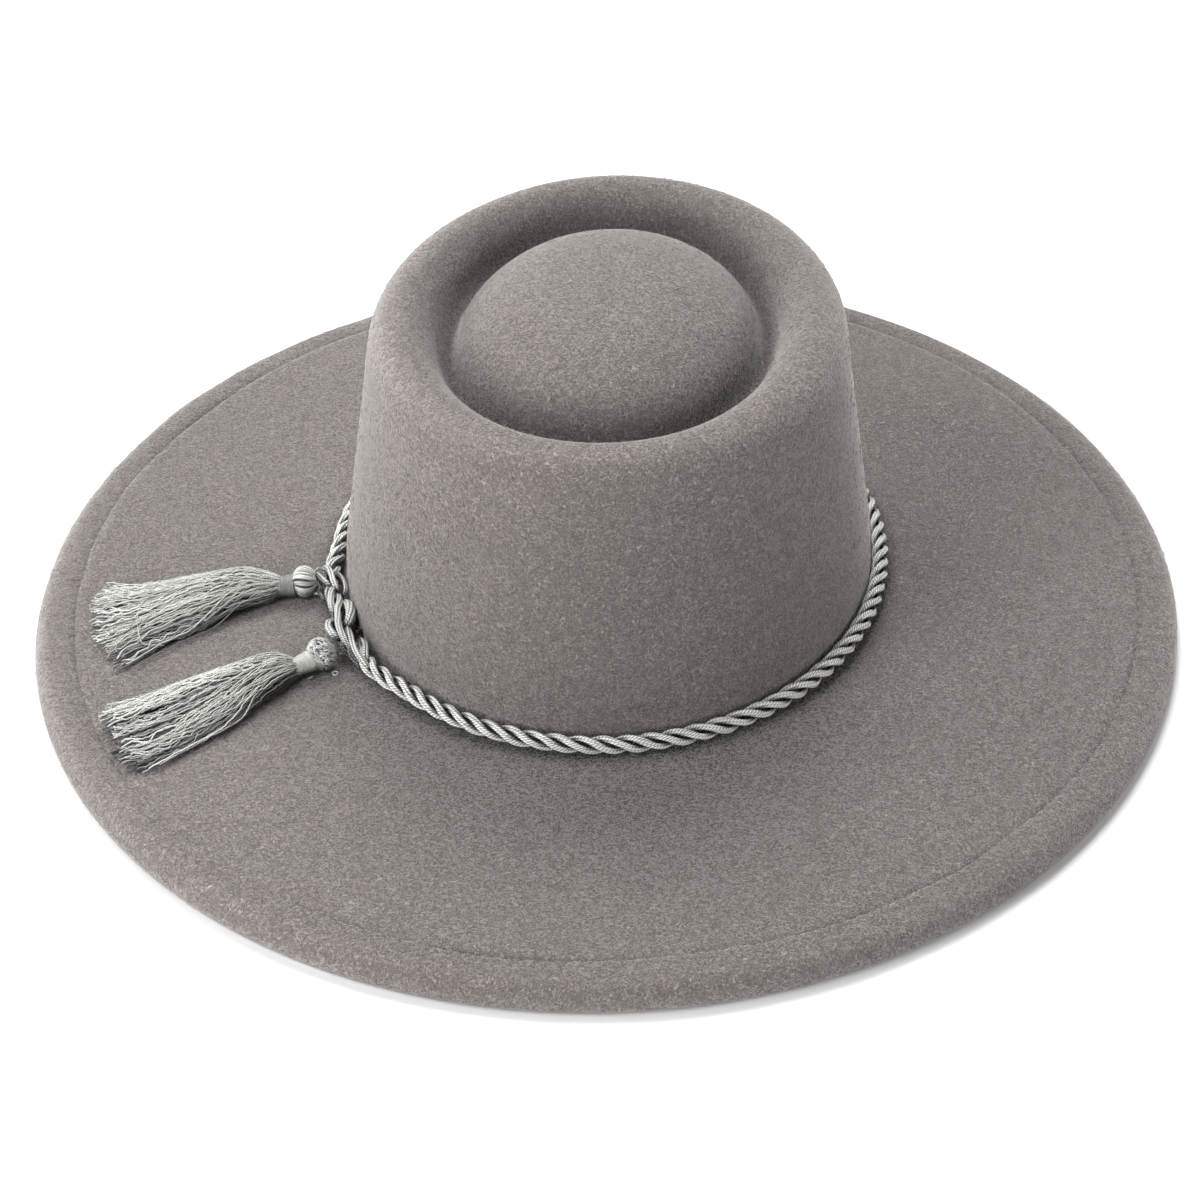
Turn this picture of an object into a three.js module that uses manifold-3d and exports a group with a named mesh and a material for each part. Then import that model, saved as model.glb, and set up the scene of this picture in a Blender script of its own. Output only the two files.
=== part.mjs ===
// Flat brim felt hat with a rope band and two tassels.
// Millimetres, +Z up. The origin is the middle of the oval that the brim covers, at the height that the
// hem rests on. The front of the hat faces -Y and the tassels lie on the -X side.

import * as THREE from 'three';
import * as BufferGeometryUtils from 'three/addons/utils/BufferGeometryUtils.js';
import Module from 'manifold-3d';

const wasm = await Module();
wasm.setup();

const TURN = 2 * Math.PI;
const BALL_SIDES = 10; // of knots and tassel heads
const BALL_ROWS = 7;
const GAP = 0.3; // clear space between pieces that touch

// Felt body
const FELT_WALL = 2.5;
const FELT_SEGMENTS = 72; // steps round the oval
const CROWN_SET_BACK = 4.1; // the crown stands this far behind the middle of the brim
const SET_BACK_FROM = 92; // half width of the brim where it starts to close up with the crown's middle
const SET_BACK_TO = 171; // half width from where the brim is centred on the origin
const CROWN_LEAN = 2.0; // how far the crown's top leans to the back
const CROWN_LEAN_FROM = 30; // height where the lean starts
const CROWN_HEIGHT = 105; // height where the lean is complete
const CROWN_TILT = 0.025; // rise of the crown's top for each millimetre to the back

// The outer face of the felt, from the middle of the top to the stitch line of the hem. Each row is an
// oval. inside says whether the inner face of the felt, which bends less, has a row there too.
const FELT_SECTION = [
  // halfWidth, halfLength, height, inside
  [0, 0, 110.5, true],
  [12, 15.5, 109.9, false],
  [24, 31, 108.3, true],
  [34, 44, 105.1, false],
  [41.2, 52.7, 100.9, true],
  [45.6, 58.6, 96, false],
  [48, 62.4, 91.2, true],
  [50.2, 65.8, 89.4, true],
  [52.4, 68.6, 92, true],
  [54.4, 70.8, 97, false],
  [57.6, 73.9, 101.2, true],
  [62, 78.3, 103.8, false],
  [66.6, 82.8, 103.9, true],
  [70.9, 87, 101.8, false],
  [73.9, 90, 97, true],
  [75.2, 91.2, 91, false],
  [76.6, 92.1, 80, true],
  [79.7, 94.8, 60, false],
  [82.6, 97.9, 40, true],
  [84.9, 100.4, 24, false],
  [85.5, 101.1, 15, true],
  [86, 101.6, 11.6, true],
  [88.4, 104, 10.7, true],
  [93, 108.6, 10.5, true],
  [130, 145.6, 9.7, false],
  [168, 183.6, 8.9, true],
  [171.8, 187.4, 8.3, false],
];

// The hem: the edge of the felt, turned under and sewn down. It goes from the stitch line over the edge
// to the flat land that the hat rests on, and in under the brim to the cut edge of the turned felt.
const HEM_SECTION = [
  // halfWidth, halfLength, height
  [175, 190.6, 9],
  [179.5, 195.1, 8.3],
  [183.5, 199.1, 5.6],
  [185, 200.6, 3.2],
  [184.4, 200, 1.1],
  [183, 198.6, 0],
  [179.4, 195, 0],
  [175.8, 191.4, 1],
  [172.9, 188.5, 2.1],
  [171.6, 187.2, 3.6],
  [171, 186.6, 5.8],
];

// Rope band
const ROPE_RADIUS = 2.85;
const ROPE_SIDES = 10;
const ROPE_STEPS = 76;
const ROPE_HALF_WIDTH = 88.75; // of the oval that the middle of the rope follows
const ROPE_HALF_LENGTH = 104.35;
const ROPE_HEIGHT = 13.95;
const ROPE_OVAL_FROM = 232; // degrees round the oval, where the rope leaves the lower knot's lead
const ROPE_OVAL_TO = 544; // degrees, where it turns out to the upper knot
const ROPE_OVAL_POINTS = 40;

// Tie: two rope ends wound round each other between two knots
const UPPER_KNOT = new THREE.Vector3(-88.3, -22.8, 16.2);
const LOWER_KNOT = new THREE.Vector3(-75.6, -61.6, 16.2);
const TIE_BOW = new THREE.Vector3(-82.6, -42.2, 16.2); // between the knots, where the crown bulges
const KNOT_RADIUS = 3.9;
const TIE_STRAND_RADIUS = 2.4;
const TIE_WIND_RADIUS = 2.35;
const TIE_TURNS = 1.25;
const TIE_STEPS = 16;
const TIE_SIDES = 8;

// Tassels: each lies on the brim, with a round head at its knot, a bound neck and a fan of locks
const HEAD_RADIUS = 4.3;
const HEAD_HEIGHT = 15.2;
const NECK_RADIUS = 3.3;
const NECK_LENGTH = 8.5; // from the middle of the head
const LOCK_SIDES = 8;
const LOCK_DROP = 0.05; // fall of a lock for each millimetre, down to the brim
const TASSELS = [
  // name, x and y of the head, heading of the fan, its spread in degrees, locks
  { name: 'tassel_upper', x: -96.5, y: -25.6, heading: 200, spread: 40, locks: 6 },
  { name: 'tassel_lower', x: -84.1, y: -63.5, heading: 217, spread: 33, locks: 6 },
];

// One lock of threads, along its length from the neck to the tip
const LOCK_SECTION = [
  // halfWidth, halfThickness, along
  [0, 0, 0],
  [1.9, 2.2, 1.5],
  [3.6, 3.4, 12],
  [4.6, 3.1, 30],
  [4.9, 2, 50],
  [4.4, 1.3, 60],
  [0, 0, 64],
];

const FELT = new THREE.MeshStandardMaterial({ color: 0x938c8a, roughness: 0.95, metalness: 0 });
const ROPE = new THREE.MeshStandardMaterial({ color: 0xb9beb8, roughness: 0.45, metalness: 0 });
const THREAD = new THREE.MeshStandardMaterial({ color: 0xc3c8c2, roughness: 0.5, metalness: 0 });

function weld(geometry) {
  const bare = new THREE.BufferGeometry();
  bare.setAttribute('position', geometry.attributes.position);
  bare.setIndex(geometry.index);
  const merged = BufferGeometryUtils.mergeVertices(bare);
  const corners = merged.index.array;
  const kept = [];
  for (let i = 0; i < corners.length; i += 3) {
    const [a, b, c] = [corners[i], corners[i + 1], corners[i + 2]];
    if (a !== b && b !== c && c !== a) kept.push(a, b, c);
  }
  merged.setIndex(kept);
  return merged;
}

function toSolid(geometry) {
  const welded = weld(geometry);
  return new wasm.Manifold(new wasm.Mesh({
    numProp: 3,
    vertProperties: new Float32Array(welded.attributes.position.array),
    triVerts: new Uint32Array(welded.index.array),
  }));
}

function fuse(geometries) {
  const whole = geometries.map(toSolid).reduce((sum, solid) => sum.add(solid));
  const { vertProperties, triVerts } = whole.getMesh();
  const fused = new THREE.BufferGeometry();
  fused.setAttribute('position', new THREE.BufferAttribute(new Float32Array(vertProperties), 3));
  fused.setIndex(new THREE.BufferAttribute(new Uint32Array(triVerts), 1));
  return fused;
}

// A lathed skin whose rows are ovals: each row has its own half width, half length and height.
function ovalLathe(rows, segments) {
  const profile = rows.map(([halfWidth, , height]) => new THREE.Vector2(halfWidth, height));
  const skin = new THREE.LatheGeometry(profile, segments);
  const position = skin.attributes.position;
  for (let i = 0; i < position.count; i++) {
    const [halfWidth, halfLength, height] = rows[i % rows.length];
    const angle = (Math.floor(i / rows.length) / segments) * TURN;
    position.setXYZ(i, halfWidth * Math.cos(angle), halfLength * Math.sin(angle), height);
  }
  return skin;
}

// The inner face: each marked row of the outer face, moved in by the wall at right angles to the section.
function innerFace(section) {
  const rows = [];
  section.forEach(([halfWidth, halfLength, height, inside], i) => {
    if (!inside) return;
    const before = section[Math.max(i - 1, 0)];
    const after = section[i + 1];
    const outward = after[0] - before[0];
    const upward = after[2] - before[2];
    const long = Math.hypot(outward, upward);
    const shift = i === 0 ? 0 : (upward / long) * FELT_WALL;
    const drop = i === 0 ? FELT_WALL : (outward / long) * FELT_WALL;
    rows.push([halfWidth + shift, halfLength + shift, height - drop]);
  });
  return rows;
}

function feltBody() {
  const outer = FELT_SECTION.map(([halfWidth, halfLength, height]) => [halfWidth, halfLength, height]);
  const rows = [...innerFace(FELT_SECTION), ...[...outer, ...HEM_SECTION].reverse()];
  const skin = ovalLathe(rows, FELT_SEGMENTS);
  const position = skin.attributes.position;
  for (let i = 0; i < position.count; i++) {
    const halfWidth = rows[i % rows.length][0];
    const [x, y, z] = [position.getX(i), position.getY(i), position.getZ(i)];
    const onBrim = THREE.MathUtils.clamp((halfWidth - SET_BACK_FROM) / (SET_BACK_TO - SET_BACK_FROM), 0, 1);
    const high = THREE.MathUtils.clamp((z - CROWN_LEAN_FROM) / (CROWN_HEIGHT - CROWN_LEAN_FROM), 0, 1);
    const back = CROWN_SET_BACK * (1 - onBrim) + CROWN_LEAN * high;
    position.setXYZ(i, x, y + back, z + CROWN_TILT * y * high);
  }
  return weld(skin);
}

function tube(path, radius, sides, steps) {
  const section = new THREE.Shape().absarc(0, 0, radius, 0, TURN);
  const settings = { extrudePath: path, steps, curveSegments: sides / 2, bevelEnabled: false };
  return new THREE.ExtrudeGeometry(section, settings);
}

// The end of the rope beside a knot, short of the knot's face by the gap.
function besideKnot(knot, next) {
  const level = new THREE.Vector3(knot.x, knot.y, ROPE_HEIGHT);
  const away = next.clone().sub(level).normalize();
  return level.addScaledVector(away, KNOT_RADIUS + GAP);
}

function ropeRoute() {
  const onOval = [];
  for (let i = 0; i < ROPE_OVAL_POINTS; i++) {
    const share = i / (ROPE_OVAL_POINTS - 1);
    const angle = THREE.MathUtils.degToRad(THREE.MathUtils.lerp(ROPE_OVAL_FROM, ROPE_OVAL_TO, share));
    const y = CROWN_SET_BACK + ROPE_HALF_LENGTH * Math.sin(angle);
    onOval.push(new THREE.Vector3(ROPE_HALF_WIDTH * Math.cos(angle), y, ROPE_HEIGHT));
  }
  const start = besideKnot(LOWER_KNOT, onOval[0]);
  const end = besideKnot(UPPER_KNOT, onOval[onOval.length - 1]);
  return new THREE.CatmullRomCurve3([start, ...onOval, end], false, 'centripetal');
}

// One of the two rope ends of the tie, wound round the line between the knots.
class TieStrand extends THREE.Curve {
  constructor(phase) {
    super();
    this.phase = phase;
    this.middle = new THREE.QuadraticBezierCurve3(UPPER_KNOT, TIE_BOW, LOWER_KNOT);
  }

  getPoint(share, target = new THREE.Vector3()) {
    const along = this.middle.getTangent(share);
    const side = new THREE.Vector3(0, 0, 1).cross(along).normalize();
    const up = along.clone().cross(side);
    const angle = this.phase + TIE_TURNS * TURN * share;
    const spread = TIE_WIND_RADIUS * Math.sqrt(Math.sin(Math.PI * THREE.MathUtils.clamp(share, 0, 1)));
    this.middle.getPoint(share, target);
    target.addScaledVector(side, spread * Math.cos(angle));
    return target.addScaledVector(up, spread * Math.sin(angle));
  }
}

function ball(centre, radius) {
  return new THREE.SphereGeometry(radius, BALL_SIDES, BALL_ROWS).translate(centre.x, centre.y, centre.z);
}

function tie() {
  const strands = [0, Math.PI].map((phase) => (
    tube(new TieStrand(phase), TIE_STRAND_RADIUS, TIE_SIDES, TIE_STEPS)));
  return fuse([...strands, ball(UPPER_KNOT, KNOT_RADIUS), ball(LOWER_KNOT, KNOT_RADIUS)]);
}

function lock(root, heading) {
  const body = ovalLathe(LOCK_SECTION, LOCK_SIDES);
  body.rotateX(-Math.PI / 2 - Math.atan(LOCK_DROP)); // along +Y, with its thickness upright
  body.rotateZ(heading - Math.PI / 2);
  return body.translate(root.x, root.y, root.z);
}

function tassel({ x, y, heading, spread, locks }) {
  const head = new THREE.Vector3(x, y, HEAD_HEIGHT);
  const middle = THREE.MathUtils.degToRad(heading);
  const forward = new THREE.Vector3(Math.cos(middle), Math.sin(middle), -LOCK_DROP * 2).normalize();
  const root = head.clone().addScaledVector(forward, NECK_LENGTH - 2);
  const neck = new THREE.LineCurve3(head, head.clone().addScaledVector(forward, NECK_LENGTH));
  const parts = [ball(head, HEAD_RADIUS), tube(neck, NECK_RADIUS, LOCK_SIDES, 1)];
  for (let i = 0; i < locks; i++) {
    const share = i / (locks - 1) - 0.5;
    parts.push(lock(root, middle + THREE.MathUtils.degToRad(spread * share)));
  }
  return fuse(parts);
}

function piece(name, geometry, material) {
  const mesh = new THREE.Mesh(geometry, material.clone());
  mesh.name = name;
  return mesh;
}

const hat = new THREE.Group();
hat.add(piece('felt_body', feltBody(), FELT));
hat.add(piece('band_rope', weld(tube(ropeRoute(), ROPE_RADIUS, ROPE_SIDES, ROPE_STEPS)), ROPE));
hat.add(piece('band_tie', tie(), ROPE));
for (const row of TASSELS) {
  hat.add(piece(row.name, tassel(row), THREAD));
}

export default hat;
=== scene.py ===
import math

import bpy
import numpy as np
from mathutils import Matrix, Vector


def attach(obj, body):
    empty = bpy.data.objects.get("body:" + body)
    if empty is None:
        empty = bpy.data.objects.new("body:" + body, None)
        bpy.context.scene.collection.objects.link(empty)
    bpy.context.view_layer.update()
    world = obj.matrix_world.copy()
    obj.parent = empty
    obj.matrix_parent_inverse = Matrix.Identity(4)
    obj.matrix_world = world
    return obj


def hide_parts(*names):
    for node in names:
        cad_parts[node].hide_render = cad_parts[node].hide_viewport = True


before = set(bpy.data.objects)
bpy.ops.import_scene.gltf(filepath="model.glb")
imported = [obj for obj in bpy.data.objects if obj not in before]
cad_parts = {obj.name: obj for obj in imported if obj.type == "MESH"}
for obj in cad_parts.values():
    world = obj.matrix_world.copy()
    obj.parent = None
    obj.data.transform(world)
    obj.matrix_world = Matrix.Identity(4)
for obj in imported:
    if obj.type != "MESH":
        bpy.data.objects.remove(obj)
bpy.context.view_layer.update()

# Flat brim felt hat with a twisted rope band and two tassels. The hat's sizes are in millimetres, and MM
# turns them into the frame's metres. Angles are in degrees unless a comment says otherwise.

MM = 0.001
TURN = 2 * math.pi
SEED = 7

# Camera: it aims at a point on the floor under the hat, from the front and above
CAMERA_AIM = Vector((-2.10, -6.45, 0)) * MM
CAMERA_DISTANCE = 899.5 * MM
CAMERA_TURN = 5.68
CAMERA_ELEVATION = 35.53
CAMERA_ROLL = -0.474
CAMERA_LENS = 82.17
CAMERA_SENSOR = 36

# Round soft lamps that aim at the middle of the hat: name, turn from the front (-Y) towards +X,
# elevation, distance and size in metres, power in watts. Nothing else lights the hat.
WORLD_STRENGTH = 0.0
SOFTBOX_AIM = Vector((0, 0, 50)) * MM
SOFTBOXES = [
    ("back", 180, 52, 1.6, 0.8, 29.4),
    ("back_left", 225, 34, 1.6, 0.8, 7.2),
    ("back_left_high", 225, 52, 1.6, 0.8, 3.6),
    ("left", 270, 34, 1.6, 0.8, 5.7),
    ("left_low", 270, 17, 1.6, 0.8, 4.4),
    ("front_left_floor", 315, 4, 1.6, 0.8, 17.5),
    ("front_left_low", 315, 17, 1.6, 0.8, 5.4),
    ("front_left_near", 315, 45, 0.6, 0.4, 1.6),
    ("front_right_low", 45, 4, 1.6, 0.8, 9.4),
    ("right_low", 90, 17, 1.6, 0.8, 7.8),
    ("right_near", 90, 45, 0.6, 0.4, 0.32),
]
FLOOR_REACH = 6  # metres from the middle to each side

# Felt: half width, half length and height of each oval of the section, from the middle of the top down
# and out to the edge that the hem covers
FELT_WALL = 2.5
FELT_SECTION = [
    (0, 0, 110.5), (12, 15.5, 109.9), (24, 31, 108.3), (34, 44, 105.1), (41.2, 52.7, 100.9),
    (45.6, 58.6, 96), (48, 62.4, 91.2), (50.2, 65.8, 89.4), (52.4, 68.6, 92), (54.4, 70.8, 97),
    (57.6, 73.9, 101.2), (62, 78.3, 103.8), (66.6, 82.8, 103.9), (70.9, 87, 101.8), (73.9, 90, 97),
    (75.2, 91.2, 91), (76.6, 92.1, 80), (79.7, 94.8, 60), (82.6, 97.9, 40), (84.9, 100.4, 24),
    (85.5, 101.1, 15), (86, 101.6, 11.6), (88.4, 104, 10.7), (93, 108.6, 10.5), (130, 145.6, 9.7),
    (166, 181.6, 8.9), (170.2, 185.8, 8.75), (171.7, 187.3, 8.25), (173.4, 189, 7.4),
]
FELT_SEGMENTS = 300
FELT_STEP = 2.2  # between rows of the outer face
FELT_STEP_INSIDE = 4.5
RIPPLES = 7  # waves that add up in the felt
FELT_RIPPLE = (0.22, 90)  # their size and length
HEM_RIPPLE = (0.22, 34)
HEM_RIPPLE_FROM = 1.0  # height over the floor where the hem's waves begin
HEM_RIPPLE_RISE = 3.0  # they grow to their full size over this height
CROWN_SET_BACK = 4.1
SET_BACK_FROM = 92  # half widths between which the brim goes back to the middle
SET_BACK_TO = 171
CROWN_LEAN = 2.0  # how far the crown's top stands behind its foot
CROWN_LEAN_FROM = 30
CROWN_HEIGHT = 105
CROWN_TILT = 0.025  # slope of the crown's top, up towards the back
BRIM_SKEW = 0.0046  # how far the brim is drawn out towards the back right and the front left

# The felt's colour carries painted light: painted shade in the groove of the crown's top, a painted
# shadow in the fold under the rope, and painted highlights on the crown's shoulder and on the hem: half
# width of each middle, reach to both sides and the share of its colour that it gains or loses
FELT_PAINTED_LIGHT = [(48.6, 5.4, -0.31), (70, 4.5, 0.25), (90, 3.6, -0.75), (184.5, 5, 0.2)]

# Hem: the turned edge, a closed ring of folded felt. It starts in the stitch groove, goes over the edge
# to the floor and in under the brim.
HEM_SECTION = [
    (171.0, 186.6, 7.3), (171.7, 187.3, 8.1), (172.9, 188.5, 8.45), (175, 190.6, 8.62),
    (178, 193.6, 8.5), (181, 196.6, 7.95), (183.3, 198.9, 6.3), (184.7, 200.3, 3.9),
    (184.4, 200, 1.1), (183, 198.6, 0.1), (179.4, 195, 0), (175.8, 191.4, 1), (172.9, 188.5, 2.1),
    (171.4, 187, 3.4), (170.9, 186.5, 5.2),
]
HEM_SEGMENTS = 1530
HEM_STEP = 1.4
HEM_UPPER = 6  # the hem's upper face is above this height
STITCH_LINE = HEM_SECTION[1]
STITCHES = 255
STITCH_DIP = 0.25  # how deep a stitch pulls the felt in
STITCH_DIP_SHIFT = 0.4  # how far outside the stitch line it is deepest
STITCH_REACH = 1.6  # how far it pulls the felt in, across the hem
STITCH_LENGTH = 2.6
STITCH_LIFT = 0.12  # height of its middle over the stitch line
STITCH_DROP = 0.75  # from its middle to its ends
STITCH_THREAD = 0.2
GROOVE_FILL = 0.3  # how much shallower the stitch groove is where the hem was pressed flattest
GROOVE_FILL_TURN = 252  # degrees round the oval, at the front left
GROOVE_FILL_SHIFT = 0.2  # how far outside the stitch line it is fullest
GROOVE_FILL_REACH = 1.4

# Nap: short curled fibres, closed and pointed, that lie on the felt or stand up from it
NAP_FIBRES = 13440  # on the crown and the brim
NAP_FIBRES_HEM = 2560
NAP_LENGTH = (1.2, 2.8)
NAP_THICKNESS = (0.05, 0.1)
NAP_CURL = 1.1  # usual bend of a fibre from its middle to its end, in radians
NAP_STANDING = 0.3  # share that stands up
NAP_RISE = (0.2, 0.6)  # height of the end of a fibre that stands up
NAP_SINK = 0.06  # depth of the start in the felt
NAP_ARCH = 0.16  # height of the middle
NAP_CROWN = 1.6  # how much denser it is on the crown than on the brim
NAP_CROWN_TO = 95  # half width where the crown ends
NAP_STEP = 3.0
NAP_STEP_HEM = 2.0

# Rope band: three strands laid up round the oval at the crown's foot
ROPE_HALF_WIDTH = 88.6
ROPE_HALF_LENGTH = 104.2
ROPE_HEIGHT = 13.95
ROPE_FROM = 232  # degrees round the oval, from +X
ROPE_TO = 544
ROPE_LAY = 21.4  # length of one turn of a strand
ROPE_START = 0.14  # share of a turn
ROPE_STEP = 0.8
STRAND_OFFSET = 1.72  # a strand's middle from the middle of the rope
STRAND_YARNS = 4
YARN_OFFSET = 0.62  # a yarn's middle from the middle of its strand
YARN_RADIUS = 0.53
YARN_LAY = -46.0  # length of one turn of a yarn, against the strands
YARN_SIDES = 6
# Painted shade in the gaps between the strands: the yarns' sides towards the rope's middle are painted
# dark
YARN_PAINTED_SHADE_TO = 0.44  # share of the rope's radius up to which the yarns are darkest
YARN_PAINTED_SHADE_FADE = 0.42  # they grow light over this share

# Tie: the two rope ends wound loosely round each other, open strands on top of a laid core. Each strand
# is its radius and the points (x, y, z) that it passes.
TIE_STRANDS = [
    (0.82, [(-92.8, -21.2, 15.5), (-90.5, -24.6, 16.5), (-88.2, -27.1, 16.5), (-86.7, -27.0, 15)]),
    (1.05, [(-91.1, -18.7, 15.5), (-89.4, -20.1, 17.2), (-87.5, -23.5, 17.8), (-86.0, -27.2, 17.5),
            (-84.6, -29.4, 16.5), (-84.1, -29.6, 15)]),
    (0.75, [(-86.8, -19.2, 14.6), (-84.5, -22.5, 16), (-82.6, -26.5, 16.3), (-81.6, -30.0, 16),
            (-82.1, -31.7, 14.5)]),
    (0.6, [(-90.8, -29.1, 14), (-89.0, -32.2, 14.5), (-87.7, -33.3, 13.5)]),
    (0.65, [(-87.9, -27.0, 15), (-87.8, -31.4, 15.5), (-86.6, -35.1, 14)]),
    (1.15, [(-86.1, -28.7, 15.5), (-85.6, -34.4, 16.6), (-84.6, -39.2, 16.4), (-83.4, -41.4, 14.8)]),
    (1.1, [(-83.5, -32.5, 15.5), (-82.2, -37.5, 16.8), (-82.0, -42.2, 17.2), (-81.3, -46.0, 17),
           (-80.5, -50.1, 17), (-79.0, -54.0, 17), (-77.0, -57.9, 16.6), (-74.7, -60.5, 15)]),
    (1.7, [(-81.0, -36.0, 15.2), (-78.8, -39.4, 16.4), (-77.6, -43.4, 16.8), (-77.4, -46.9, 16.4),
            (-78.2, -48.1, 15)]),
    (1.25, [(-82.9, -45.6, 15), (-83.9, -48.3, 15.8), (-83.5, -51.0, 16), (-81.5, -54.2, 16),
           (-79.6, -55.2, 15)]),
    (1.05, [(-77.8, -49.6, 15.5), (-75.9, -55.0, 16.8), (-74.2, -59.7, 17), (-72.1, -64.3, 16.8),
            (-69.8, -67.5, 16.4), (-67.5, -69.5, 15)]),
    (0.6, [(-78.5, -50.0, 15.2), (-77.1, -54.0, 15.6), (-75.8, -55.7, 15)]),
    (0.85, [(-75.2, -49.8, 13.6), (-73.3, -47.6, 13.2)]),
    (1.0, [(-72.9, -54.1, 14.8), (-70.7, -58.3, 15.8), (-69.6, -62.5, 16), (-68.6, -66.5, 15)]),
    (0.7, [(-73.6, -54.9, 14.6), (-71.8, -60.1, 15.2), (-70.1, -64.4, 14.8)]),
]
TIE_CORE = [
    (-90.0, -21.0, 13.9), (-86.6, -28.0, 13.6), (-84.0, -36.0, 13.6), (-81.2, -44.5, 13.6),
    (-78.8, -52.5, 13.6), (-74.6, -60.0, 13.7), (-70.4, -64.6, 13.8),
]
TIE_CORE_OFFSET = 1.45
TIE_CORE_LAY = 17
# The core's yarns are painted dark to this share of their tone, as painted shade under the open strands
TIE_CORE_PAINTED_SHADE = 0.12
TIE_STEP = 0.6
TIE_TAPER = 0.4  # how much thinner a strand is at its ends
TIE_YARN = 0.24  # radius of a strand for each of its yarns, of which it has three or more
TIE_YARN_FILL = 1.12  # how much thicker they are than yarns that just touch
TIE_YARN_LAY = 60.0
TIE_SIDES = 8
# Painted shade: the tie's strands are painted darker towards their low sides
TIE_PAINTED_SHADE_TO = 14.2  # height up to which the strands are darkest
TIE_PAINTED_SHADE_FADE = 2.5  # they grow light over this height
LOOSE_END_STEP = 0.4
# Short loose ends of thread by the knots: radius and points
LOOSE_ENDS = [
    (0.35, [(-78.6, -59.0, 12.0), (-77.5, -58.3, 11.8), (-76.6, -57.4, 11.6)]),
    (0.22, [(-79.8, -67.9, 11.1), (-79.0, -67.3, 11.6), (-77.9, -67.9, 11.4), (-78.5, -68.8, 11.1),
            (-79.6, -68.3, 11.2)]),
    (0.22, [(-86.7, -71.2, 11.2), (-85.9, -71.4, 11.5), (-85.4, -69.8, 11.2)]),
    (0.3, [(-83.2, -50.3, 12.4), (-81.9, -51.5, 12.6), (-80.5, -52.1, 12.2)]),
    (0.3, [(-94.0, -20.6, 15.0), (-92.4, -19.2, 16.2), (-90.6, -18.6, 15.4)]),
    (0.4, [(-92.2, -28.4, 12.6), (-91.2, -28.9, 13.2), (-90.2, -28.6, 12.8)]),
]

# Tassels. The head is a ball wound with thread, the neck a tight winding, the skirt loose threads.
# Across the skirt, guides run at the shares -1, -0.5, 0, 0.5 and 1 of its half width. Each row gives the
# five guides' x and y at one share of the length, and the skirt's height there. The shade is painted
# shade:
# the tone of the deepest threads, how fast the tone fades with depth and the tone of the top ones.
# neck_painted_shade is the neck's painted shade beside the ball's. seed is for the head and skirt_seed for
# the skirt.
THREAD = 0.24  # radius of a thread of the skirt
LOOSE_THREAD = 0.15
LOOSE_THREAD_TONE = 0.6
TASSEL_UPPER = {
    "ball": (-95.6, -26.0, 15.4), "ball_radius": 5.0, "ball_length": 3.8,
    "neck": [(-98.6, -27.0, 14.6), (-104.2, -27.6, 13.9)], "neck_radius": 3.35, "neck_painted_shade": 0.5,
    "skirt": [
        ((-103.4, -24.2), (-103.3, -25.8), (-103.2, -27.4), (-103.0, -29.0), (-102.8, -30.6), 6.8),
        ((-109.8, -20.9), (-108.9, -24.4), (-108.0, -27.9), (-106.9, -31.4), (-105.6, -34.8), 7.8),
        ((-117.0, -18.9), (-116.0, -23.5), (-114.8, -29.0), (-113.6, -34.5), (-112.0, -39.6), 8.4),
        ((-129.2, -20.4), (-128.0, -28.0), (-126.0, -35.0), (-124.0, -41.8), (-121.5, -47.2), 7.8),
        ((-139.5, -23.0), (-139.5, -33.0), (-137.0, -41.0), (-134.5, -48.5), (-130.0, -53.0), 6.4),
        ((-150.0, -25.6), (-152.0, -36.5), (-149.0, -46.0), (-145.5, -55.5), (-138.6, -61.0), 5.0),
        ((-161.5, -26.0), (-164.0, -38.5), (-161.0, -49.8), (-156.0, -62.5), (-147.5, -73.0), 3.2),
    ],
    "seed": 21, "skirt_seed": 31, "shade": (0.12, 1.5, 1.0),
    "loose": [
        [(-130.5, -30.0, 15.9), (-137.6, -34.5, 16.0), (-142.9, -37.5, 15.7), (-145.3, -42.1, 15.2),
         (-145.4, -48.2, 14.8), (-143.2, -56.1, 14.3), (-140.6, -61.2, 13.8), (-134.0, -61.4, 13.6)],
        [(-131.0, -39.0, 15.9), (-137.6, -42.8, 15.5), (-141.4, -47.5, 15.2), (-143.3, -53.7, 14.6),
         (-142.5, -61.1, 13.6)],
    ],
}
TASSEL_LOWER = {
    "ball": (-83.4, -64.2, 15.4), "ball_radius": 5.3, "ball_length": 4.3,
    "neck": [(-86.2, -66.4, 14.6), (-91.0, -70.0, 13.9)], "neck_radius": 3.0, "neck_painted_shade": 1.0,
    "skirt": [
        ((-91.8, -66.8), (-91.1, -68.2), (-90.4, -69.7), (-89.8, -71.2), (-89.2, -72.6), 6.4),
        ((-96.6, -65.2), (-95.8, -68.7), (-95.0, -72.3), (-93.9, -75.8), (-92.6, -79.2), 8.2),
        ((-101.5, -64.0), (-101.6, -70.0), (-101.0, -76.5), (-99.6, -82.0), (-97.0, -85.8), 8.0),
        ((-112.0, -69.2), (-112.5, -76.5), (-111.0, -85.0), (-107.5, -92.5), (-103.4, -95.4), 7.6),
        ((-123.0, -75.6), (-123.5, -83.5), (-121.0, -93.0), (-116.5, -101.0), (-111.4, -103.7), 6.6),
        ((-134.5, -82.6), (-134.5, -90.5), (-131.5, -99.5), (-126.5, -108.5), (-119.8, -111.9), 5.4),
        ((-147.5, -87.3), (-146.5, -96.5), (-143.0, -105.5), (-137.5, -114.5), (-129.3, -122.2), 4.2),
    ],
    "seed": 22, "skirt_seed": 36, "shade": (0.04, 2.4, 0.82),
    "loose": [],
}
RIDGE_PITCH = 1.12  # between threads of the upper head
RIDGE_RADIUS = 0.5
RIDGE_SINK = 0.12  # how deep the middle of a thread lies in the ball
LOOPS = 330  # of thread on the lower head
NECK_PITCH = 0.52
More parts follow.
